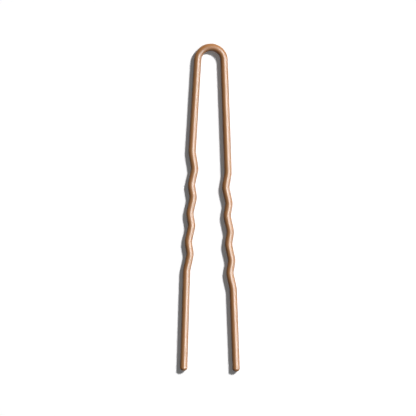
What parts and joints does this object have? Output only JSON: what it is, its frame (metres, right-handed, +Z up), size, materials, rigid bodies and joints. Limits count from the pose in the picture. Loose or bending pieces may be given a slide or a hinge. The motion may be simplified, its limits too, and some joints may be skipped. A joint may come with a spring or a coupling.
{
  "type": "waved hairpin",
  "caption": "U-shaped waved hairpin of lacquered round spring wire, with rounded tips and two legs that spring apart and together.",
  "frame": {"origin": "middle of the pin's outline, on the surface that it lies on", "axes": "+Y along the pin towards its crown, +X towards the leg whose waves start lower, +Z up from the surface"},
  "size_m": [0.0118, 0.065, 0.0015],
  "materials": {
    "spring_steel": "drawn",
    "lacquer": "baked bronze lacquer, semi gloss",
    "tip_dip": "dipped lacquer, semi gloss"
  },
  "bodies": {
    "crown": {"crown_wire": "spring_steel", "crown_coat": "lacquer"},
    "left_leg": {"left_leg_wire": "spring_steel", "left_leg_coat": "lacquer", "left_tip_drop": "tip_dip"},
    "right_leg": {"right_leg_wire": "spring_steel", "right_leg_coat": "lacquer", "right_tip_drop": "tip_dip"}
  },
  "joints": [
    {"name": "left_leg_flex", "type": "hinge", "parent": "crown", "child": "left_leg", "pos_m": [-0.00291, 0.0213, 0.00075], "axis": [0, 0, -1], "range_deg": [-4.6, 10], "stiffness_Nm_per_rad": 1.4},
    {"name": "right_leg_flex", "type": "hinge", "parent": "crown", "child": "right_leg", "pos_m": [0.0031, 0.02123, 0.00075], "axis": [0, 0, 1], "range_deg": [-4.6, 10], "stiffness_Nm_per_rad": 1.4}
  ]
}
